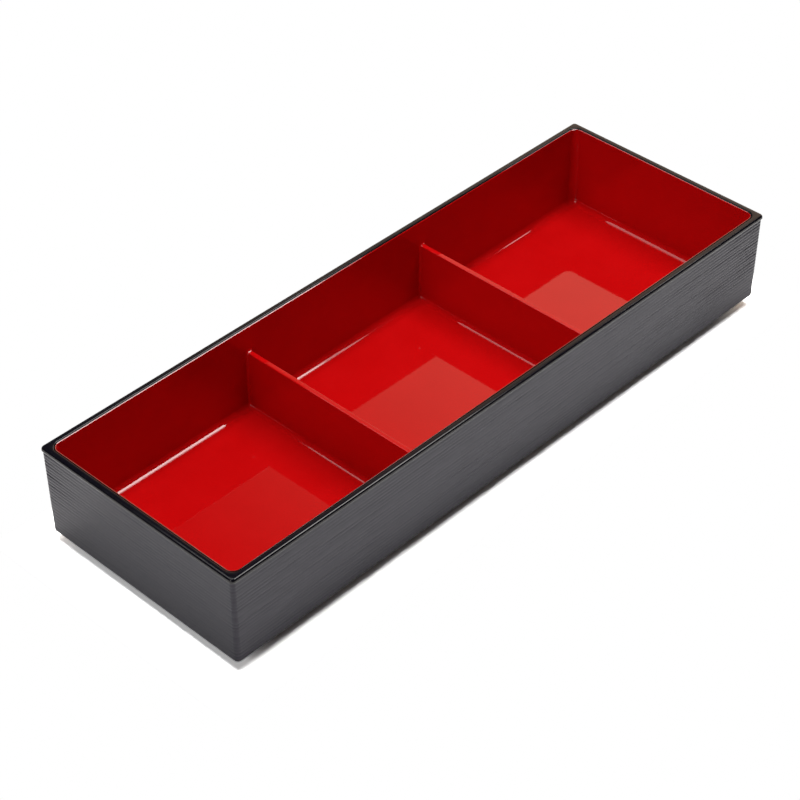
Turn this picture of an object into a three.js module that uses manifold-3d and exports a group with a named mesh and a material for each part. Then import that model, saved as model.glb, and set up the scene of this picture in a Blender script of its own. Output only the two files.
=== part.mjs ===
// Long bento box with three compartments: a black case with a red compartment tray that drops into it.
// Millimetres, +Z up, length along X, origin at the middle of the underside.

import * as THREE from 'three';
import { mergeVertices } from 'three/addons/utils/BufferGeometryUtils.js';
import Module from 'manifold-3d';

// Overall size, at the rim
const LENGTH = 350;
const WIDTH = 120;
const HEIGHT = 53;

// Case
const WALL_DRAFT = THREE.MathUtils.degToRad(1); // every wall leans in towards the floor
const CASE_WALL = 3;
const CASE_FLOOR = 1.5;
const CASE_CORNER = 2.4; // outside radius of the upright corners
const RIM_EDGE = 1; // rounding of the rim, outside
const RIM_LIP_EDGE = 0.4; // rounding of the rim, towards the tray
const BOTTOM_EDGE = 0.7; // rounding of the bottom edge

// Foot, a ring under the case
const FOOT_HEIGHT = 5.5; // the underside is this far off the table
const FOOT_INSET = 8; // from the outer face in to the ring
const FOOT_RING = 3; // width of the ring
const FOOT_CORNER = 6; // outside radius of the ring's corners

// Fit of the tray in the case
const FIT_GAP = 0.3; // round the tray's walls and under its floor
const TRAY_DROP = 0.1; // from the rim down to the tray's top edge

// Tray
const TRAY_WALL = 0.6;
const TRAY_FLOOR = 1;
const TRAY_EDGE = 0.12; // rounding of both sides of the top edge
const TRAY_LIP_SLOPE = THREE.MathUtils.degToRad(25); // the top edge slopes down inwards
const TRAY_CORNER = 4; // inside radius of the upright corners
const FLOOR_FILLET = 3.2; // from the walls to the floor

// Dividers, moulded in one with the tray
const COMPARTMENTS = 3;
const DIVIDER_THICKNESS = 2.6; // at the top
const DIVIDER_DROP = 13.4; // from the rim down to the divider's top
const DIVIDER_DRAFT = THREE.MathUtils.degToRad(1.2); // each face spreads towards the floor
const DIVIDER_EDGE = 0.5; // rounding of the top edges
const DIVIDER_FILLET = 2.5; // from the faces to the floor
const DIVIDER_END_FILLET = 1.2; // from the faces to the side walls

// Facets
const CORNER_STEPS = 8; // along each upright corner
const EDGE_STEPS = 4; // along a rounded edge
const FILLET_STEPS = 7; // along a fillet

// Heights and depths that follow from the sizes
const caseFloorTop = FOOT_HEIGHT + CASE_FLOOR;
const traySeat = caseFloorTop + FIT_GAP;
const trayFloorTop = traySeat + TRAY_FLOOR;
const trayTop = HEIGHT - TRAY_DROP;
const dividerTop = HEIGHT - DIVIDER_DROP;
const trayOuterDepth = CASE_WALL + FIT_GAP; // from the outer face of the case inwards
const trayInnerDepth = trayOuterDepth + TRAY_WALL;
const trayOuterCorner = TRAY_CORNER + TRAY_WALL;
const caseInnerCorner = trayOuterCorner + FIT_GAP;
const floorFillet = Math.min(FLOOR_FILLET, TRAY_CORNER); // no wider than the corner that it runs round
const trayFootFillet = floorFillet + TRAY_FLOOR;
const caseFillet = trayFootFillet + FIT_GAP;

// How far the outer face has leaned in at a height
const leanAt = (z) => (HEIGHT - z) * Math.tan(WALL_DRAFT);

// Points of a quarter turn, from 0 to 1 along each of two directions
function quarterTurn(steps) {
  return Array.from({ length: steps + 1 }, (_, i) => {
    const angle = (i / steps) * Math.PI / 2;
    return [Math.sin(angle), 1 - Math.cos(angle)];
  });
}

// A rounded rectangle at a height, anticlockwise seen from above
function roundedLoop(depth, corner, z) {
  const halfX = LENGTH / 2 - leanAt(z) - depth;
  const halfY = WIDTH / 2 - leanAt(z) - depth;
  const radius = Math.max(corner, 0);
  const loop = [];
  for (let quadrant = 0; quadrant < 4; quadrant += 1) {
    const signX = quadrant === 0 || quadrant === 3 ? 1 : -1;
    const signY = quadrant < 2 ? 1 : -1;
    for (let step = 0; step <= CORNER_STEPS; step += 1) {
      const angle = (quadrant + step / CORNER_STEPS) * Math.PI / 2;
      loop.push(new THREE.Vector3(
        signX * (halfX - radius) + radius * Math.cos(angle),
        signY * (halfY - radius) + radius * Math.sin(angle),
        z,
      ));
    }
  }
  return loop;
}

// A closed skin through a run of loops, with a flat cap on the first and on the last
function loft(loops) {
  const count = loops[0].length;
  const positions = loops.flat().flatMap((point) => point.toArray());
  const index = [];
  for (let level = 0; level + 1 < loops.length; level += 1) {
    for (let i = 0; i < count; i += 1) {
      const a = level * count + i;
      const b = level * count + (i + 1) % count;
      index.push(a, b, b + count, a, b + count, a + count);
    }
  }
  const capOf = (loop) => THREE.ShapeUtils.triangulateShape(loop.map((p) => new THREE.Vector2(p.x, p.y)), []);
  const lastStart = (loops.length - 1) * count;
  for (const [a, b, c] of capOf(loops[0])) index.push(c, b, a);
  for (const [a, b, c] of capOf(loops.at(-1))) index.push(lastStart + a, lastStart + b, lastStart + c);
  const geometry = new THREE.BufferGeometry();
  geometry.setAttribute('position', new THREE.Float32BufferAttribute(positions, 3));
  geometry.setIndex(index);
  return withoutFlatTriangles(mergeVertices(geometry));
}

// A corner of no radius shrinks some triangles to a line: these are left out
function withoutFlatTriangles(geometry) {
  const old = geometry.index.array;
  const kept = [];
  for (let i = 0; i < old.length; i += 3) {
    const [a, b, c] = old.slice(i, i + 3);
    if (a !== b && b !== c && c !== a) kept.push(a, b, c);
  }
  geometry.setIndex(kept);
  return geometry;
}

// The case: from the middle of the underside out over the foot, up, over the rim and down inside
function caseGeometry() {
  const ringInside = (z) => roundedLoop(FOOT_INSET + FOOT_RING, FOOT_CORNER - FOOT_RING, z);
  const ringOutside = (z) => roundedLoop(FOOT_INSET, FOOT_CORNER, z);
  const loops = [ringInside(FOOT_HEIGHT), ringInside(0), ringOutside(0), ringOutside(FOOT_HEIGHT)];
  for (const [along, up] of quarterTurn(EDGE_STEPS)) {
    const depth = BOTTOM_EDGE * (1 - along);
    loops.push(roundedLoop(depth, CASE_CORNER - depth, FOOT_HEIGHT + BOTTOM_EDGE * up));
  }
  for (const [up, along] of quarterTurn(EDGE_STEPS)) {
    const depth = RIM_EDGE * along;
    loops.push(roundedLoop(depth, CASE_CORNER - depth, HEIGHT - RIM_EDGE * (1 - up)));
  }
  for (const [along, down] of quarterTurn(EDGE_STEPS)) {
    const inset = RIM_LIP_EDGE * (1 - along);
    loops.push(roundedLoop(CASE_WALL - inset, caseInnerCorner + inset, HEIGHT - RIM_LIP_EDGE * down));
  }
  for (const [down, along] of quarterTurn(FILLET_STEPS)) {
    const inset = caseFillet * along;
    loops.push(roundedLoop(CASE_WALL + inset, caseInnerCorner - inset, caseFloorTop + caseFillet * (1 - down)));
  }
  return loft(loops);
}

// The tray's top edge, from the outer face over a lip that slopes inwards: how far in, and how far below the top
function trayLip() {
  const slopeStart = Math.PI / 2 + TRAY_LIP_SLOPE;
  const slopeWidth = TRAY_WALL - 2 * TRAY_EDGE;
  const turn = (from, to, middle, drop) => Array.from({ length: EDGE_STEPS + 1 }, (_, i) => {
    const angle = from + (to - from) * i / EDGE_STEPS;
    return [middle - TRAY_EDGE * Math.cos(angle), drop + TRAY_EDGE * (1 - Math.sin(angle))];
  });
  return [
    ...turn(0, slopeStart, TRAY_EDGE, 0),
    ...turn(slopeStart, Math.PI, TRAY_WALL - TRAY_EDGE, slopeWidth * Math.tan(TRAY_LIP_SLOPE)),
  ];
}

// The tray without its dividers, made the same way round
function trayShellGeometry() {
  const loops = [];
  for (const [along, up] of quarterTurn(FILLET_STEPS)) {
    const inset = trayFootFillet * (1 - along);
    loops.push(roundedLoop(trayOuterDepth + inset, trayOuterCorner - inset, traySeat + trayFootFillet * up));
  }
  for (const [inset, down] of trayLip()) {
    loops.push(roundedLoop(trayOuterDepth + inset, trayOuterCorner - inset, trayTop - down));
  }
  for (const [down, along] of quarterTurn(FILLET_STEPS)) {
    const inset = floorFillet * along;
    loops.push(roundedLoop(trayInnerDepth + inset, TRAY_CORNER - inset, trayFloorTop + floorFillet * (1 - down)));
  }
  return loft(loops);
}

// How far a fillet of this radius stands out from the wall at a height over the floor
function filletReach(radius, height) {
  const rise = THREE.MathUtils.clamp(radius - height, 0, radius);
  return radius - Math.sqrt(radius ** 2 - rise ** 2);
}

// One level of a divider: a thin web whose ends flare into the side walls and are buried in them
function dividerLoop(centreX, halfThickness, z) {
  const bite = TRAY_WALL / 10; // the flares run this far into the wall, so that they cut it cleanly
  const wallFace = WIDTH / 2 - leanAt(z) - trayInnerDepth - filletReach(floorFillet, z - trayFloorTop);
  const flareEnd = wallFace + bite;
  const side = quarterTurn(EDGE_STEPS).map(([along, out]) => [
    halfThickness + DIVIDER_END_FILLET * out,
    flareEnd - DIVIDER_END_FILLET * (1 - along),
  ]);
  side.push([halfThickness + DIVIDER_END_FILLET, wallFace + TRAY_WALL / 2]);
  const quarter = (signX, signY) => side.map(([x, y]) => new THREE.Vector3(centreX + signX * x, signY * y, z));
  return [
    ...quarter(1, -1).reverse(),
    ...quarter(1, 1),
    ...quarter(-1, 1).reverse(),
    ...quarter(-1, -1),
  ];
}

// A divider from inside the tray's floor up to its rounded top edges
function dividerGeometry(centreX) {
  const bite = TRAY_FLOOR / 10;
  const filletFoot = trayFloorTop - bite;
  const faceAt = (z) => DIVIDER_THICKNESS / 2 + (dividerTop - z) * Math.tan(DIVIDER_DRAFT);
  const levelAt = (z, extra) => dividerLoop(centreX, faceAt(z) + extra, z);
  const loops = [levelAt(trayFloorTop - TRAY_FLOOR / 2, DIVIDER_FILLET)];
  for (const [along, up] of quarterTurn(FILLET_STEPS)) {
    loops.push(levelAt(filletFoot + DIVIDER_FILLET * up, DIVIDER_FILLET * (1 - along)));
  }
  const wallFilletTop = trayFloorTop + floorFillet;
  if (wallFilletTop > filletFoot + DIVIDER_FILLET) loops.push(levelAt(wallFilletTop, 0));
  for (const [up, along] of quarterTurn(EDGE_STEPS)) {
    loops.push(levelAt(dividerTop - DIVIDER_EDGE * (1 - up), -DIVIDER_EDGE * along));
  }
  return loft(loops);
}

// Middles of the dividers, for compartments of equal length at the dividers' top
function dividerPlaces() {
  const clearLength = LENGTH - 2 * (leanAt(dividerTop) + trayInnerDepth);
  const pitch = (clearLength + DIVIDER_THICKNESS) / COMPARTMENTS;
  return Array.from({ length: COMPARTMENTS - 1 }, (_, i) => pitch * (i + 1 - COMPARTMENTS / 2));
}

const wasm = await Module();
wasm.setup();

function toSolid(geometry) {
  const mesh = new wasm.Mesh({
    numProp: 3,
    vertProperties: new Float32Array(geometry.attributes.position.array),
    triVerts: new Uint32Array(geometry.index.array),
  });
  return new wasm.Manifold(mesh);
}

function toGeometry(solid) {
  const mesh = solid.getMesh();
  const geometry = new THREE.BufferGeometry();
  geometry.setAttribute('position', new THREE.Float32BufferAttribute(mesh.vertProperties, 3));
  geometry.setIndex(new THREE.Uint32BufferAttribute(mesh.triVerts, 1));
  return geometry;
}

// The tray with its dividers joined on
function trayGeometry() {
  return toGeometry(dividerPlaces().reduce(
    (tray, centreX) => tray.add(toSolid(dividerGeometry(centreX))),
    toSolid(trayShellGeometry()),
  ));
}

function namedMesh(name, geometry, material) {
  geometry.computeVertexNormals();
  const mesh = new THREE.Mesh(geometry, new THREE.MeshStandardMaterial(material));
  mesh.name = name;
  return mesh;
}

const bentoBox = new THREE.Group();
bentoBox.add(
  namedMesh('outer_case', caseGeometry(), { color: 0x1b191b, roughness: 0.45, metalness: 0 }),
  namedMesh('compartment_tray', trayGeometry(), { color: 0xb8100f, roughness: 0.12, metalness: 0 }),
);

export default bentoBox;
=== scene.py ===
# Long bento box with three compartments: black case with fine grain lines, glossy red tray inside
import math
import bmesh
import bpy
from mathutils import Matrix, Vector, noise


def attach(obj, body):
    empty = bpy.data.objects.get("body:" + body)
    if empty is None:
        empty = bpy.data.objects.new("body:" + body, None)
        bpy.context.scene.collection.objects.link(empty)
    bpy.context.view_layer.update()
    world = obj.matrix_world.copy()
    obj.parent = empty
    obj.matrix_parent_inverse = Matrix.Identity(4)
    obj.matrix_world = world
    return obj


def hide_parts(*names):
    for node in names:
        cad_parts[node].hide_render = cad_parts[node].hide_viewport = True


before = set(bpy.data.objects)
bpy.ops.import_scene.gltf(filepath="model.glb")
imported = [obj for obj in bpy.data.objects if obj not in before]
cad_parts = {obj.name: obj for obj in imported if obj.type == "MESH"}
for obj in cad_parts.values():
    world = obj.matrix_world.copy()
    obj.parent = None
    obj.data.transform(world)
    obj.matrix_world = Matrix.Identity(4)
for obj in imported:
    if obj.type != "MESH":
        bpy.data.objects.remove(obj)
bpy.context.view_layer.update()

MM = 0.001

# Sizes of the part, in millimetres, as its solids have them
LENGTH = 350
WIDTH = 120
HEIGHT = 53
WALL_DRAFT = math.radians(1)
CASE_WALL = 3
CASE_FLOOR = 1.5
CASE_CORNER = 2.4
RIM_EDGE = 1
RIM_LIP_EDGE = 0.4
BOTTOM_EDGE = 0.7
FOOT_HEIGHT = 5.5
FOOT_INSET = 8
FOOT_RING = 3
FOOT_CORNER = 6
FIT_GAP = 0.3
TRAY_DROP = 0.1
TRAY_WALL = 0.6
TRAY_FLOOR = 1
TRAY_EDGE = 0.12
TRAY_LIP_SLOPE = math.radians(25)
TRAY_CORNER = 4
FLOOR_FILLET = 3.2
COMPARTMENTS = 3
DIVIDER_THICKNESS = 2.6
DIVIDER_DROP = 13.4
DIVIDER_DRAFT = math.radians(1.2)
DIVIDER_EDGE = 0.5
DIVIDER_FILLET = 2.5
DIVIDER_END_FILLET = 1.2

# Fine form of the case that its solids leave out: the rim's own corner and edge, walls just behind
# the rim, the height over which they come out to it, and a rounded foot ring
RIM_CORNER = 2
RIM_EDGE_HIGH = 1.6
WALL_RECESS = 0.45
LIP_UNDER = 0.75
FOOT_EDGE = 0.5

# Heights and depths that follow from the sizes
CASE_FLOOR_TOP = FOOT_HEIGHT + CASE_FLOOR
WALL_TOP = HEIGHT - RIM_EDGE_HIGH - LIP_UNDER
TRAY_SEAT = CASE_FLOOR_TOP + FIT_GAP
FLOOR_TOP = TRAY_SEAT + TRAY_FLOOR
TRAY_TOP = HEIGHT - TRAY_DROP
DIVIDER_TOP = HEIGHT - DIVIDER_DROP
TRAY_OUTER = CASE_WALL + FIT_GAP
TRAY_INNER = TRAY_OUTER + TRAY_WALL
TRAY_OUTER_CORNER = TRAY_CORNER + TRAY_WALL
CASE_INNER_CORNER = TRAY_OUTER_CORNER + FIT_GAP
TRAY_FOOT_FILLET = FLOOR_FILLET + TRAY_FLOOR
CASE_FILLET = TRAY_FOOT_FILLET + FIT_GAP
POCKET_TOP = FLOOR_TOP + FLOOR_FILLET
# The tray's inner walls are one band above this height, clear of the dividers
OPEN_MARGIN = 2
OPEN_FOOT = DIVIDER_TOP + DIVIDER_END_FILLET + OPEN_MARGIN

# Facets
CORNER_STEPS = 12
EDGE_STEPS = 6
FILLET_STEPS = 14
LONG_SPLITS = 120
SHORT_SPLITS = 42
CASE_SPLITS = (LONG_SPLITS, SHORT_SPLITS, LONG_SPLITS, SHORT_SPLITS)
# Points in each corner of a loop
ARC = CORNER_STEPS + 1
# Smallest corner radius in millimetres, so that a sharp corner keeps all its points
LEAST_CORNER = 0.02
# Points closer than this are welded, in metres
WELD_DISTANCE = 2e-7

# Finish at each point, kept as smooth_finish: out of sight, plain, and glossy black at the rim
DULL = -1.0
PLAIN = 0.0
RIM = 1.0

# Grain lines round the case: spacing, its spread and where that is read in the noise, width, margins
LINE_PITCH = 1.87
LINE_PITCH_SPREAD = 0.15
LINE_PITCH_NOISE = (0.5, 3.7, 11.3)
LINE_HALF_WIDTH = 0.42
LINE_TOP_MARGIN = 0.3
LINE_BOTTOM_MARGIN = 0.4
# The plain finish ends this far below the top of the walls
FINISH_MARGIN = LINE_TOP_MARGIN / 3
# Across a line: places in half widths from its middle, and the share of its depth there
LINE_PROFILE = ((-1, 0), (-0.5, 0.5), (0, 1), (0.5, 0.5), (1, 0))

# How far lines stray up and down, together and each by itself, with wave lengths along and up
LINE_WAVE = 0.12
SHARED_LENGTH = 70
SHARED_HEIGHT = 40
OWN_SHARE = 0.5
# Distances from the rim and the bottom edge within which they stray less
RIM_ROOM = 9
BOTTOM_ROOM = 6

# Depth of lines, and shares of it: on long walls, at the foot of short walls and added at their top,
# at corners, and how much of that is left at the foot of a corner
LINE_DEPTH = 0.16
LONG_WALL_DEPTH = 0.48
SHORT_WALL_DEPTH = 0.06
SHORT_WALL_RISE = 0.3
CORNER_DEPTH = 1.4
CORNER_LOW_DEPTH = 0.3
# From where to where a place comes to count as a corner, as high up, and as on a long wall
CORNER_REACH = (1.45, 2)
HIGH_REACH = (0.25 * HEIGHT, 0.8 * HEIGHT)
LONG_WALL_REACH = (0.9, 0.97)

# Noise along lines: wave length, then level of the noise at the first line and step to the next
OWN_NOISE = (30, 0, 5.1)
FADE_NOISE = (24, 3, 9.7)
FINE_NOISE = (9, 40, 2.3)
# How uneven lines are along walls and at corners: mean, share of each noise, least and most
WALL_BREAKS = (0.65, 1.3, 0.4, 0, 1.6)
CORNER_BREAKS = (0.75, 0.4, 0.15, 0.3, 1.15)


def lean(z):
    """How far the outer face has leaned in at a height."""
    return (HEIGHT - z) * math.tan(WALL_DRAFT)


def quarter_turn(steps):
    """Points of a quarter turn, from 0 to 1 along each of two directions."""
    angles = [i / steps * math.pi / 2 for i in range(steps + 1)]
    return [(math.sin(a), 1 - math.cos(a)) for a in angles]


def rounded_loop(low, high, radii, z, splits=(1, 1, 1, 1)):
    """A rounded rectangle from above, anticlockwise from the +X+Y corner, with a radius for each."""
    signs = ((1, 1), (-1, 1), (-1, -1), (1, -1))
    arcs = []
    for turn, ((sx, sy), radius) in enumerate(zip(signs, radii)):
        cx = high[0] - radius if sx > 0 else low[0] + radius
        cy = high[1] - radius if sy > 0 else low[1] + radius
        angles = [(turn + s / CORNER_STEPS) * math.pi / 2 for s in range(ARC)]
        arcs.append([Vector((cx + radius * math.cos(a), cy + radius * math.sin(a), z)) for a in angles])
    loop = []
    for turn, arc in enumerate(arcs):
        loop += arc
        after = arcs[(turn + 1) % 4][0]
        count = splits[turn]
        loop += [arc[-1].lerp(after, i / count) for i in range(1, count)]
    return loop


def box_loop(depth, corner, z, splits=(1, 1, 1, 1)):
    """A level of the box: the outer face moved in by a depth."""
    hx = LENGTH / 2 - lean(z) - depth
    hy = WIDTH / 2 - lean(z) - depth
    return rounded_loop((-hx, -hy), (hx, hy), (max(corner, LEAST_CORNER),) * 4, z, splits)


class Patchwork:
    """Gathers patches of faces, then welds them into one mesh."""

    def __init__(self):
        self.points = []
        self.faces = []
        self.marks = []

    def add(self, points, mark):
        first = len(self.points)
        self.points += points
        self.marks += [mark] * len(points)
        return range(first, first + len(points))

    def strip(self, rows, closed, marks=None):
        """Quads between rows of points, each row with its finish."""
        ids = [self.add(row, marks[i] if marks else PLAIN) for i, row in enumerate(rows)]
        count = len(rows[0])
        for lower, upper in zip(ids, ids[1:]):
            for i in range(count if closed else count - 1):
                j = (i + 1) % count
                self.faces.append((lower[i], lower[j], upper[j], upper[i]))

    def bands(self, groups):
        """One closed strip through groups of rows, each group with its finish."""
        rows = []
        marks = []
        for group, mark in groups:
            rows += group
            marks += [mark] * len(group)
        self.strip(rows, True, marks)
        return rows

    def flat(self, points, mark=PLAIN):
        self.faces.append(tuple(self.add(points, mark)))

    def object(self, name):
        mesh = bpy.data.meshes.new(name)
        mesh.from_pydata([p * MM for p in self.points], [], self.faces)
        values = mesh.attributes.new("smooth_finish", "FLOAT", "POINT")
        values.data.foreach_set("value", self.marks)
        work = bmesh.new()
        work.from_mesh(mesh)
        bmesh.ops.remove_doubles(work, verts=work.verts, dist=WELD_DISTANCE)
        bmesh.ops.recalc_face_normals(work, faces=work.faces)
        for face in work.faces:
            face.smooth = True
        work.to_mesh(mesh)
        work.free()
        made = bpy.data.objects.new(name, mesh)
        bpy.context.scene.collection.objects.link(made)
        return made


# Case

def case_loop(depth, corner, z):
    return box_loop(depth, corner, z, CASE_SPLITS)


def recess(z):
    """How far a wall lies behind the rim's edge: most under the rim, nothing at the bottom."""
    return WALL_RECESS * (z - FOOT_HEIGHT) / (WALL_TOP - FOOT_HEIGHT)


def wall_loop(z, inwards=0):
    """A plain row of the outer wall, or one further in."""
    depth = recess(z) + inwards
    return case_loop(depth, CASE_CORNER - depth, z)


def line_heights():
    """Heights of the grain lines, unevenly spaced, from the bottom up."""
    heights = []
    x, step, level = LINE_PITCH_NOISE
    z = WALL_TOP - LINE_TOP_MARGIN - LINE_HALF_WIDTH
    while z > FOOT_HEIGHT + BOTTOM_EDGE + LINE_BOTTOM_MARGIN + LINE_HALF_WIDTH:
        heights.append(z)
        z -= LINE_PITCH + LINE_PITCH_SPREAD * noise.noise(Vector((x, step * len(heights), level)))
    return heights[::-1]


def ease(value, low, high):
    """0 below a low mark, 1 above a high one, and a soft step between."""
    share = min(1, max(0, (value - low) / (high - low)))
    return share * share * (3 - 2 * share)


def line_noise(place, index, kind):
    """Noise along a line, different for each line."""
    length, first, step = kind
    return noise.noise(Vector((place.x / length, place.y / length, step * index + first)))


def line_shift(place, z, index):
    """How far a line strays from its height at a place: less near the rim and the bottom edge."""
    room = min(1, (HEIGHT - z) / RIM_ROOM, (z - FOOT_HEIGHT) / BOTTOM_ROOM)
    shared = noise.noise(Vector((place.x / SHARED_LENGTH, place.y / SHARED_LENGTH, z / SHARED_HEIGHT)))
    own = line_noise(place, index, OWN_NOISE)
    return LINE_WAVE * room * (shared + OWN_SHARE * own)


def uneven(fade, fine, breaks):
    """How much of a line is left where the noise along it has two values."""
    mean, fade_share, fine_share, least, most = breaks
    return min(most, max(least, mean + fade_share * fade + fine_share * fine))


def line_depth(place, index):
    """Depth of a line: deepest at two opposite corners, fading in and out along the walls."""
    corner = ease(abs(place.x / (LENGTH / 2) - place.y / (WIDTH / 2)), *CORNER_REACH)
    high = ease(place.z, *HIGH_REACH)
    on_long_wall = ease(abs(place.y) / (WIDTH / 2), *LONG_WALL_REACH)
    on_short_wall = SHORT_WALL_DEPTH + SHORT_WALL_RISE * high
    on_wall = LONG_WALL_DEPTH * on_long_wall + on_short_wall * (1 - on_long_wall)
    at_corner = CORNER_DEPTH * corner * (CORNER_LOW_DEPTH + (1 - CORNER_LOW_DEPTH) * high)
    fade = line_noise(place, index, FADE_NOISE)
    fine = line_noise(place, index, FINE_NOISE)
    along_wall = on_wall * uneven(fade, fine, WALL_BREAKS)
    return LINE_DEPTH * (along_wall + at_corner * uneven(fade, fine, CORNER_BREAKS))


def line_row(index, height, offset, share):
    """A row of a grain line: its points stray up or down with the line and are pressed in."""
    z = height + offset * LINE_HALF_WIDTH
    row = []
    # The loop 1 mm further in gives each point its way inwards
    for out, inside in zip(wall_loop(z), wall_loop(z, 1)):
        inward = inside - out
        shift = line_shift(out, height, index)
        point = out + inward * (share * line_depth(out, index))
        point -= inward * (shift * math.tan(WALL_DRAFT))
        point.z = z + shift
        row.append(point)
    return row


def line_rows():
    rows = []
    for index, height in enumerate(line_heights()):
        rows += [line_row(index, height, offset, share) for offset, share in LINE_PROFILE]
    return rows


def foot_rows():
    """Rows from the underside over the foot ring and round the bottom edge to the foot of the walls."""
    ring_in = FOOT_INSET + FOOT_RING
    ring_corner = FOOT_CORNER - FOOT_RING
    rows = [case_loop(ring_in, ring_corner, FOOT_HEIGHT)]
    for down, along in quarter_turn(EDGE_STEPS):
        inset = FOOT_EDGE * along
        rows.append(case_loop(ring_in - inset, ring_corner + inset, FOOT_EDGE * (1 - down)))
    for along, up in quarter_turn(EDGE_STEPS):
        inset = FOOT_EDGE * (1 - along)
        rows.append(case_loop(FOOT_INSET + inset, FOOT_CORNER - inset, FOOT_EDGE * up))
    rows.append(case_loop(FOOT_INSET, FOOT_CORNER, FOOT_HEIGHT))
    for along, up in quarter_turn(EDGE_STEPS):
        depth = BOTTOM_EDGE * (1 - along)
        rows.append(case_loop(depth, CASE_CORNER - depth, FOOT_HEIGHT + BOTTOM_EDGE * up))
    return rows


def rim_rows():
    """Rows from the top of the walls over the rim to its inner edge."""
    rows = [wall_loop(WALL_TOP)]
    for up, along in quarter_turn(EDGE_STEPS):
        depth = RIM_EDGE * along
        rows.append(case_loop(depth, RIM_CORNER - depth, HEIGHT - RIM_EDGE_HIGH * (1 - up)))
    for along, down in quarter_turn(EDGE_STEPS):
        inset = RIM_LIP_EDGE * (1 - along)
        z = HEIGHT - RIM_LIP_EDGE * down
        rows.append(case_loop(CASE_WALL - inset, CASE_INNER_CORNER + inset, z))
    return rows


def inside_rows():
    """Rows of the fillet between the case's inner walls and its floor."""
    rows = []
    for down, along in quarter_turn(FILLET_STEPS):
        inset = CASE_FILLET * along
        z = CASE_FLOOR_TOP + CASE_FILLET * (1 - down)
        rows.append(case_loop(CASE_WALL + inset, CASE_INNER_CORNER - inset, z))
    return rows


def make_case():
    foot = foot_rows()
    walls = foot[-1:] + line_rows() + [wall_loop(WALL_TOP - FINISH_MARGIN)]
    work = Patchwork()
    rows = work.bands(((foot[:-1], DULL), (walls, PLAIN), (rim_rows(), RIM), (inside_rows(), PLAIN)))
    work.flat(rows[0], DULL)
    work.flat(rows[-1])
    return work.object("case_skin")


# Tray

def fillet_reach(radius, height):
    """How far a fillet stands out from its wall at a height over the floor."""
    rise = min(radius, max(0, radius - height))
    return radius - math.sqrt(radius ** 2 - rise ** 2)


def divider_places():
    clear = LENGTH - 2 * (lean(DIVIDER_TOP) + TRAY_INNER)
    pitch = (clear + DIVIDER_THICKNESS) / COMPARTMENTS
    return [pitch * (i + 1 - COMPARTMENTS / 2) for i in range(COMPARTMENTS - 1)]


def divider_half(z):
    """Half the thickness of a divider at a height."""
    return DIVIDER_THICKNESS / 2 + (DIVIDER_TOP - z) * math.tan(DIVIDER_DRAFT)


def pocket_loop(index, z):
    """One compartment at a height, below the dividers' tops."""
    places = divider_places()
    wall = fillet_reach(FLOOR_FILLET, z - FLOOR_TOP)
    side = divider_half(z) + fillet_reach(DIVIDER_FILLET, z - FLOOR_TOP)
    hx = LENGTH / 2 - lean(z) - TRAY_INNER - wall
    hy = WIDTH / 2 - lean(z) - TRAY_INNER - wall
    first = index == 0
    last = index == COMPARTMENTS - 1
    low_x = -hx if first else places[index - 1] + side
    high_x = hx if last else places[index] - side
    corner = TRAY_CORNER - wall
    right = corner if last else DIVIDER_END_FILLET
    left = corner if first else DIVIDER_END_FILLET
    return rounded_loop((low_x, -hy), (high_x, hy), (right, left, left, right), z)


def pocket_levels():
    levels = [FLOOR_TOP + FLOOR_FILLET * up for _, up in quarter_turn(FILLET_STEPS)]
    levels.append(FLOOR_TOP + DIVIDER_FILLET)
    return sorted(levels)


def divider_contour(centre, flare):
    """The outline of a divider seen from its end, from one compartment over the top into the next."""
    foot = divider_half(POCKET_TOP) + flare
    edge_z = DIVIDER_TOP - DIVIDER_EDGE
    edge_x = divider_half(edge_z) - DIVIDER_EDGE
    radius = DIVIDER_EDGE + flare
    right = [(foot, POCKET_TOP)]
    right += [(edge_x + radius * (1 - c), edge_z + radius * s) for s, c in quarter_turn(EDGE_STEPS)]
    left = [(-x, z) for x, z in right]
    return [(centre + x, z) for x, z in left + right[::-1]]


def divider_rows(centre):
    """Sections of a divider from the -Y wall to the +Y wall, its ends flaring into the walls."""
    ends = []
    for s, c in quarter_turn(CORNER_STEPS):
        ends.append((DIVIDER_END_FILLET * c, DIVIDER_END_FILLET * (1 - s)))
    rows = []
    for sign, run in ((-1, ends), (1, ends[::-1])):
        for away, flare in run:
            row = []
            for x, z in divider_contour(centre, flare):
                wall_y = WIDTH / 2 - lean(z) - TRAY_INNER
                row.append(Vector((x, sign * (wall_y - away), z)))
            rows.append(row)
    return rows


def lip_turn(start, end, middle, drop):
    """A turn of the tray's top edge: how far in from its outer face, and how far below its top."""
    angles = [start + (end - start) * i / EDGE_STEPS for i in range(EDGE_STEPS + 1)]
    return [(middle - TRAY_EDGE * math.cos(a), drop + TRAY_EDGE * (1 - math.sin(a))) for a in angles]


def lip_loops(turn):
    """Rows of the tray's top edge along one of its turns."""
    rows = []
    for inset, down in turn:
        rows.append(box_loop(TRAY_OUTER + inset, TRAY_OUTER_CORNER - inset, TRAY_TOP - down))
    return rows


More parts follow.
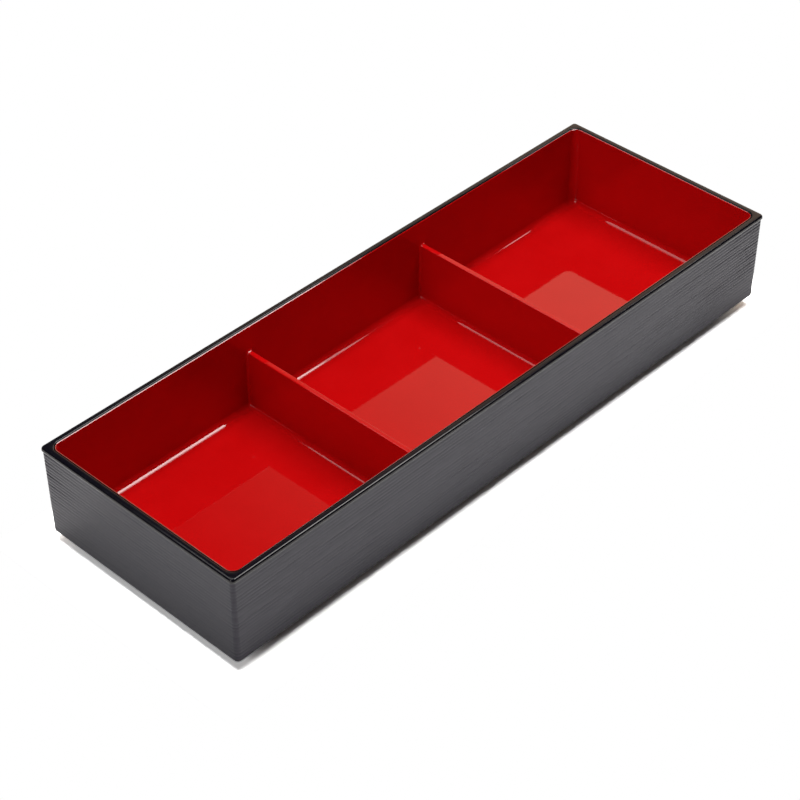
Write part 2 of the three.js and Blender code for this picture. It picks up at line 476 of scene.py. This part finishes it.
def shell_groups():
    """Rows of the tray's shell with their finish: dull outside, a lip that slopes inwards and is
    black like the rim on its outer half, and the open part over the dividers."""
    outside = []
    for along, up in quarter_turn(FILLET_STEPS):
        inset = TRAY_FOOT_FILLET * (1 - along)
        z = TRAY_SEAT + TRAY_FOOT_FILLET * up
        outside.append(box_loop(TRAY_OUTER + inset, TRAY_OUTER_CORNER - inset, z))
    # The dull finish ends just under the lip
    outside.append(box_loop(TRAY_OUTER, TRAY_OUTER_CORNER, TRAY_TOP - 2 * TRAY_EDGE))
    slope = math.pi / 2 + TRAY_LIP_SLOPE
    fall = (TRAY_WALL - 2 * TRAY_EDGE) * math.tan(TRAY_LIP_SLOPE)
    lip_out = lip_loops(lip_turn(0, slope, TRAY_EDGE, 0))
    lip_in = lip_loops(lip_turn(slope, math.pi, TRAY_WALL - TRAY_EDGE, fall))
    inside = lip_in + [box_loop(TRAY_INNER, TRAY_CORNER, OPEN_FOOT)]
    return (outside, DULL), (lip_out, RIM), (inside, PLAIN)


def add_short_walls(work, tops, rim):
    """The tray's short walls, from the first and last compartments up to the open part."""
    left = slice(ARC, 3 * ARC)
    work.strip([tops[0][left], rim[left]], False)
    work.strip([loop[3 * ARC:] + loop[:ARC] for loop in (tops[-1], rim)], False)


def add_long_walls(work, tops, dividers, rim):
    """The tray's long walls, one face each, cut out round the dividers' ends."""
    back = []
    front = []
    for index, loop in enumerate(tops):
        back += [loop[ARC], loop[ARC - 1]]
        front += [loop[3 * ARC - 1], loop[3 * ARC]]
        if index < COMPARTMENTS - 1:
            front += dividers[index][0][1:-1]
            back += dividers[index][-1][1:-1]
    back += [rim[ARC - 1], rim[ARC]]
    front += [rim[3 * ARC], rim[3 * ARC - 1]]
    work.flat(back)
    work.flat(front)


def even_normals(obj):
    """Big flat faces keep their own direction where they run into fillets."""
    obj.modifiers.new("even", "WEIGHTED_NORMAL").mode = "FACE_AREA"
    graph = bpy.context.evaluated_depsgraph_get()
    done = bpy.data.meshes.new_from_object(obj.evaluated_get(graph), depsgraph=graph)
    obj.modifiers.clear()
    obj.data = done


def make_tray():
    work = Patchwork()
    shell = work.bands(shell_groups())
    work.flat(shell[0], DULL)
    tops = []
    for index in range(COMPARTMENTS):
        loops = [pocket_loop(index, z) for z in pocket_levels()]
        work.strip(loops, True)
        work.flat(loops[0])
        tops.append(loops[-1])
    dividers = [divider_rows(x) for x in divider_places()]
    for rows in dividers:
        work.strip(rows, False)
    add_short_walls(work, tops, shell[-1])
    add_long_walls(work, tops, dividers, shell[-1])
    made = work.object("tray_skin")
    even_normals(made)
    return made


# Materials

# Spans of noise values that are spread over a range of settings, and over two colours
NOISE_SPAN = (0.25, 0.75)
RAMP_SPAN = (0.3, 0.7)
BUMP_DISTANCE = 0.0002

# Tray. Each cloud and noise has a scale and a detail
RED_COLOURS = ((0.445, 0.0020, 0.0026, 1), (0.468, 0.0027, 0.0034, 1))
RED_CLOUD = (60, 3)
RED_ROUGHNESS = (0.03, 0.045)
RED_ROUGHNESS_NOISE = (180, 2)
RED_BUMP = 0.02
RED_BUMP_NOISE = (420, 2)
RED_IOR = 1.68
RED_SPECULAR = 0.5
RED_DULL_SPECULAR = 0.1
# Colour of the lip's outer half, and the span of finish over which it sets in
LIP_BLACK = (0.006, 0.003, 0.003, 1)
LIP_SPAN = (0.25, 0.75)

# Case
BLACK_COLOURS = ((0.0035, 0.0031, 0.0056, 1), (0.0052, 0.0047, 0.0078, 1))
BLACK_CLOUD = (220, 4)
WALL_ROUGHNESS = (0.28, 0.36)
WALL_ROUGHNESS_NOISE = (700, 3)
RIM_ROUGHNESS = (0.06, 0.12)
RIM_ROUGHNESS_NOISE = (250, 2)
BLACK_BUMP = 0.08
BLACK_BUMP_NOISE = (2200, 2)
BLACK_IOR = 1.5
BLACK_DULL_SPECULAR = 0.08
# Tint of mirrored light
WALL_TINT = (0.91, 0.86, 1.0, 1)
RIM_TINT = (1.0, 0.97, 0.93, 1)
# Fine streaks along the walls: how close they lie along X, Y and Z, and the range of mirrored light
GRAIN_SCALE = (110, 110, 1300)
GRAIN_NOISE = (1, 1)
GRAIN_SPECULAR = (0.49, 0.61)

# Floor: its shade as it lights the box, in mirror images, and as the camera sees it near the box
FLOOR_SHADE = 0.8
FLOOR_MIRRORED = 0.95
FLOOR_SEEN = 3.9
# Distance from the box, in millimetres, over which the floor turns to plain white
SHADOW_REACH = (10, 20)
# The long sides' distance is counted from this far inside the box
SHADOW_TRIM = 4


class Nodes:
    """Short calls for building a material's nodes."""

    def __init__(self, name):
        self.material = bpy.data.materials.new(name)
        self.material.use_nodes = True
        self.tree = self.material.node_tree
        self.shader = self.tree.nodes["Principled BSDF"]
        self.output = self.tree.nodes["Material Output"]

    def node(self, kind, **values):
        made = self.tree.nodes.new(kind)
        for key, value in values.items():
            setattr(made, key, value)
        return made

    def link(self, a, b):
        self.tree.links.new(a, b)

    def place(self):
        return self.node("ShaderNodeTexCoord").outputs["Object"]

    def finish(self):
        return self.node("ShaderNodeAttribute", attribute_name="smooth_finish").outputs["Fac"]

    def noise(self, vector, scale, detail):
        made = self.node("ShaderNodeTexNoise")
        made.inputs["Scale"].default_value = scale
        made.inputs["Detail"].default_value = detail
        self.link(vector, made.inputs["Vector"])
        return made.outputs["Fac"]

    def spread(self, value, span, settings=(0, 1)):
        """Spreads a span of values over a range of settings, and stops at its ends."""
        made = self.node("ShaderNodeMapRange")
        ends = ("From Min", "From Max", "To Min", "To Max")
        for end, setting in zip(ends, span + settings):
            made.inputs[end].default_value = setting
        self.link(value, made.inputs["Value"])
        return made

    def varied(self, vector, kind, settings):
        """A setting that varies with a noise of some scale and detail."""
        return self.spread(self.noise(vector, *kind), NOISE_SPAN, settings).outputs["Result"]

    def colour(self, value, colours):
        """Two colours mixed by a value."""
        ramp = self.node("ShaderNodeValToRGB")
        for stop, position, colour in zip(ramp.color_ramp.elements, RAMP_SPAN, colours):
            stop.position = position
            stop.color = colour
        self.link(value, ramp.inputs["Fac"])
        return ramp.outputs["Color"]

    def mix(self, kind, factor):
        made = self.node("ShaderNodeMix", data_type=kind)
        self.link(factor, made.inputs["Factor"])
        return made

    def shine(self, finish, dull):
        """Mirrored light, less where the finish is dull. Gives the socket that sets it elsewhere."""
        made = self.spread(finish, (DULL, PLAIN))
        made.inputs["To Min"].default_value = dull
        self.link(made.outputs["Result"], self.shader.inputs["Specular IOR Level"])
        return made.inputs["To Max"]

    def bump(self, height, strength):
        made = self.node("ShaderNodeBump")
        made.inputs["Strength"].default_value = strength
        made.inputs["Distance"].default_value = BUMP_DISTANCE
        self.link(height, made.inputs["Height"])
        self.link(made.outputs["Normal"], self.shader.inputs["Normal"])


def red_material():
    """Glossy red, black at the outer half of the lip and less glossy out of sight."""
    n = Nodes("tray_red")
    place = n.place()
    finish = n.finish()
    edge = n.mix("RGBA", n.spread(finish, LIP_SPAN).outputs["Result"])
    n.link(n.colour(n.noise(place, *RED_CLOUD), RED_COLOURS), edge.inputs["A"])
    edge.inputs["B"].default_value = LIP_BLACK
    n.link(edge.outputs["Result"], n.shader.inputs["Base Color"])
    n.link(n.varied(place, RED_ROUGHNESS_NOISE, RED_ROUGHNESS), n.shader.inputs["Roughness"])
    n.shine(finish, RED_DULL_SPECULAR).default_value = RED_SPECULAR
    n.shader.inputs["IOR"].default_value = RED_IOR
    n.bump(n.noise(place, *RED_BUMP_NOISE), RED_BUMP)
    return n.material


def black_material():
    """Black plastic: satin walls with fine streaks, a glossy rim, and dull out of sight."""
    n = Nodes("case_black")
    place = n.place()
    finish = n.finish()
    n.link(n.colour(n.noise(place, *BLACK_CLOUD), BLACK_COLOURS), n.shader.inputs["Base Color"])
    roughness = n.mix("FLOAT", finish)
    n.link(n.varied(place, WALL_ROUGHNESS_NOISE, WALL_ROUGHNESS), roughness.inputs["A"])
    n.link(n.varied(place, RIM_ROUGHNESS_NOISE, RIM_ROUGHNESS), roughness.inputs["B"])
    n.link(roughness.outputs["Result"], n.shader.inputs["Roughness"])
    n.shader.inputs["IOR"].default_value = BLACK_IOR
    grain = n.node("ShaderNodeMapping")
    grain.inputs["Scale"].default_value = GRAIN_SCALE
    n.link(place, grain.inputs["Vector"])
    streaks = n.varied(grain.outputs["Vector"], GRAIN_NOISE, GRAIN_SPECULAR)
    n.link(streaks, n.shine(finish, BLACK_DULL_SPECULAR))
    tint = n.mix("RGBA", finish)
    tint.inputs["A"].default_value = WALL_TINT
    tint.inputs["B"].default_value = RIM_TINT
    n.link(tint.outputs["Result"], n.shader.inputs["Specular Tint"])
    n.bump(n.noise(place, *BLACK_BUMP_NOISE), BLACK_BUMP)
    return n.material


def away_from_box(n):
    """0 under the box and near it, 1 further away."""
    place = n.node("ShaderNodeSeparateXYZ")
    n.link(n.place(), place.inputs["Vector"])

    def beyond(axis, half):
        size = n.node("ShaderNodeMath", operation="ABSOLUTE")
        n.link(place.outputs[axis], size.inputs[0])
        past = n.node("ShaderNodeMath", operation="SUBTRACT")
        n.link(size.outputs["Value"], past.inputs[0])
        past.inputs[1].default_value = half * MM
        return past.outputs["Value"]

    most = n.node("ShaderNodeMath", operation="MAXIMUM")
    n.link(beyond("X", LENGTH / 2), most.inputs[0])
    n.link(beyond("Y", WIDTH / 2 - SHADOW_TRIM), most.inputs[1])
    reach = tuple(distance * MM for distance in SHADOW_REACH)
    return n.spread(most.outputs["Value"], reach).outputs["Result"]


def floor_material():
    """White floor. The camera sees it plain white away from the box and over-exposed near it, so that
    only the deep part of the shadow shows. Other rays meet a matt floor."""
    n = Nodes("floor_white")
    rays = n.node("ShaderNodeLightPath")

    def matt(shade):
        made = n.node("ShaderNodeBsdfDiffuse")
        made.inputs["Color"].default_value = (shade, shade, shade, 1)
        return made.outputs["BSDF"]

    def choose(share, other, chosen):
        made = n.node("ShaderNodeMixShader")
        n.link(share, made.inputs["Fac"])
        n.link(other, made.inputs[1])
        n.link(chosen, made.inputs[2])
        return made.outputs["Shader"]

    white = n.node("ShaderNodeEmission").outputs["Emission"]
    shown = choose(away_from_box(n), matt(FLOOR_SEEN), white)
    through = n.node("ShaderNodeMath", operation="MAXIMUM")
    n.link(rays.outputs["Is Glossy Ray"], through.inputs[0])
    n.link(rays.outputs["Is Transmission Ray"], through.inputs[1])
    mirrored = choose(through.outputs["Value"], matt(FLOOR_SHADE), matt(FLOOR_MIRRORED))
    seen = choose(rays.outputs["Is Camera Ray"], mirrored, shown)
    n.link(seen, n.output.inputs["Surface"])
    n.tree.nodes.remove(n.shader)
    return n.material


# Floor, light and camera, in metres

FLOOR_SIZE = 30

SKY_LEVEL = 0.01
# Soft lights far off: compass angle from +X, height angle, inner and outer radius in degrees, colour
SKY_LIGHTS = (
    (20, 10, 25, 44, (0.9, 0.67, 0.49)),
    (12, 4, 6, 24, (1.7, 1.8, 1.9)),
)

# Softboxes that face straight down: name, middle in X and Y, size, and level of the face where white is 1
LAMP_HEIGHT = 1.0
OVERHEAD_LAMPS = (
    ("overhead", (-0.1, 0.06), (0.7, 0.3), 12.5),
    ("overhead_strip", (0.4475, -0.06), (0.355, 0.66), 7.6),
    ("overhead_strip_edge", (0.6525, -0.06), (0.055, 0.66), 2.4),
    ("overhead_right", (0.95, 0.14), (0.12, 0.3), 6),
    ("overhead_back", (-0.05, 0.545), (0.6, 0.27), 1.5),
    ("overhead_small", (0.18, 0.43), (0.2, 0.1), 4.5),
)
# Left out of mirror images, because from above its image would wash out the glossy tray
UNMIRRORED_LAMP = "overhead"
# Softbox to the left: name, middle, point that it faces, size and level
SIDE_LAMP = ("left_side", (-1.2, 0.0, 0.5), (0, 0, 0.03), (0.6, 0.5), 3.2)

# Camera fitted to the box's edges in the photo: point that it faces and distance in millimetres
CAMERA_TARGET = Vector((-23.06, -6.49, 20.0 + FOOT_HEIGHT))
CAMERA_DISTANCE = 1033.63
CAMERA_AZIMUTH = math.radians(-46.059)
CAMERA_ELEVATION = math.radians(39.490)
CAMERA_ROLL = math.radians(0.292)
CAMERA_LENS = 102.61
CAMERA_SENSOR = 36
CAMERA_FAR = 100


def make_floor():
    bpy.ops.mesh.primitive_plane_add(size=FLOOR_SIZE, location=(0, 0, 0))
    floor = bpy.context.object
    floor.name = "floor"
    floor.data.materials.append(floor_material())


def make_world():
    """A dim studio with soft lights far off to the right: a warm one, and a cooler one near the floor."""
    world = bpy.data.worlds.new("studio")
    bpy.context.scene.world = world
    world.use_nodes = True
    tree = world.node_tree
    way = tree.nodes.new("ShaderNodeTexCoord").outputs["Generated"]

    def vector(operation):
        made = tree.nodes.new("ShaderNodeVectorMath")
        made.operation = operation
        return made

    total = None
    for turn, height, inner, outer, colour in SKY_LIGHTS:
        turn, height = math.radians(turn), math.radians(height)
        flat = math.cos(height)
        facing = vector("DOT_PRODUCT")
        facing.inputs[1].default_value = (math.cos(turn) * flat, math.sin(turn) * flat, math.sin(height))
        tree.links.new(way, facing.inputs[0])
        fade = tree.nodes.new("ShaderNodeMapRange")
        fade.interpolation_type = "SMOOTHSTEP"
        fade.inputs["From Min"].default_value = math.cos(math.radians(outer))
        fade.inputs["From Max"].default_value = math.cos(math.radians(inner))
        tree.links.new(facing.outputs["Value"], fade.inputs["Value"])
        glow = vector("SCALE")
        glow.inputs[0].default_value = colour
        tree.links.new(fade.outputs["Result"], glow.inputs["Scale"])
        add = vector("ADD")
        add.inputs[1].default_value = (SKY_LEVEL,) * 3
        tree.links.new(glow.outputs["Vector"], add.inputs[0])
        if total:
            tree.links.new(total, add.inputs[1])
        total = add.outputs["Vector"]
    tree.links.new(total, tree.nodes["Background"].inputs["Color"])


def make_lamp(name, place, target, size, level):
    """A softbox whose face has a size in metres, and a level where white is 1."""
    lamp = bpy.data.lights.new(name, "AREA")
    lamp.shape = "RECTANGLE"
    lamp.size, lamp.size_y = size
    lamp.energy = level * math.pi * size[0] * size[1]
    made = bpy.data.objects.new(name, lamp)
    bpy.context.scene.collection.objects.link(made)
    made.location = place
    made.rotation_euler = (Vector(target) - Vector(place)).to_track_quat("-Z", "Y").to_euler()
    return made


def make_lamps():
    for name, (x, y), size, level in OVERHEAD_LAMPS:
        lamp = make_lamp(name, (x, y, LAMP_HEIGHT), (x, y, 0), size, level)
        lamp.visible_glossy = name != UNMIRRORED_LAMP
    make_lamp(*SIDE_LAMP)


def make_camera():
    camera = bpy.data.cameras.new("camera")
    camera.lens = CAMERA_LENS
    camera.sensor_width = CAMERA_SENSOR
    camera.clip_end = CAMERA_FAR
    made = bpy.data.objects.new("camera", camera)
    bpy.context.scene.collection.objects.link(made)
    flat = math.cos(CAMERA_ELEVATION)
    back = Vector((
        math.sin(CAMERA_AZIMUTH) * flat,
        -math.cos(CAMERA_AZIMUTH) * flat,
        math.sin(CAMERA_ELEVATION),
    ))
    right = Vector((0, 0, 1)).cross(back).normalized()
    up = back.cross(right)
    cos_r, sin_r = math.cos(CAMERA_ROLL), math.sin(CAMERA_ROLL)
    right, up = right * cos_r - up * sin_r, right * sin_r + up * cos_r
    place = (CAMERA_TARGET + back * CAMERA_DISTANCE) * MM
    made.matrix_world = Matrix((
        (right.x, up.x, back.x, place.x),
        (right.y, up.y, back.y, place.y),
        (right.z, up.z, back.z, place.z),
        (0, 0, 0, 1),
    ))
    bpy.context.scene.camera = made


def dress(obj, material, node, body):
    obj.data.materials.clear()
    obj.data.materials.append(material)
    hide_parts(node)
    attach(obj, body)


dress(make_case(), black_material(), "outer_case", "case")
dress(make_tray(), red_material(), "compartment_tray", "tray")
make_floor()
make_world()
make_lamps()
make_camera()
bpy.context.scene.view_settings.view_transform = "Standard"
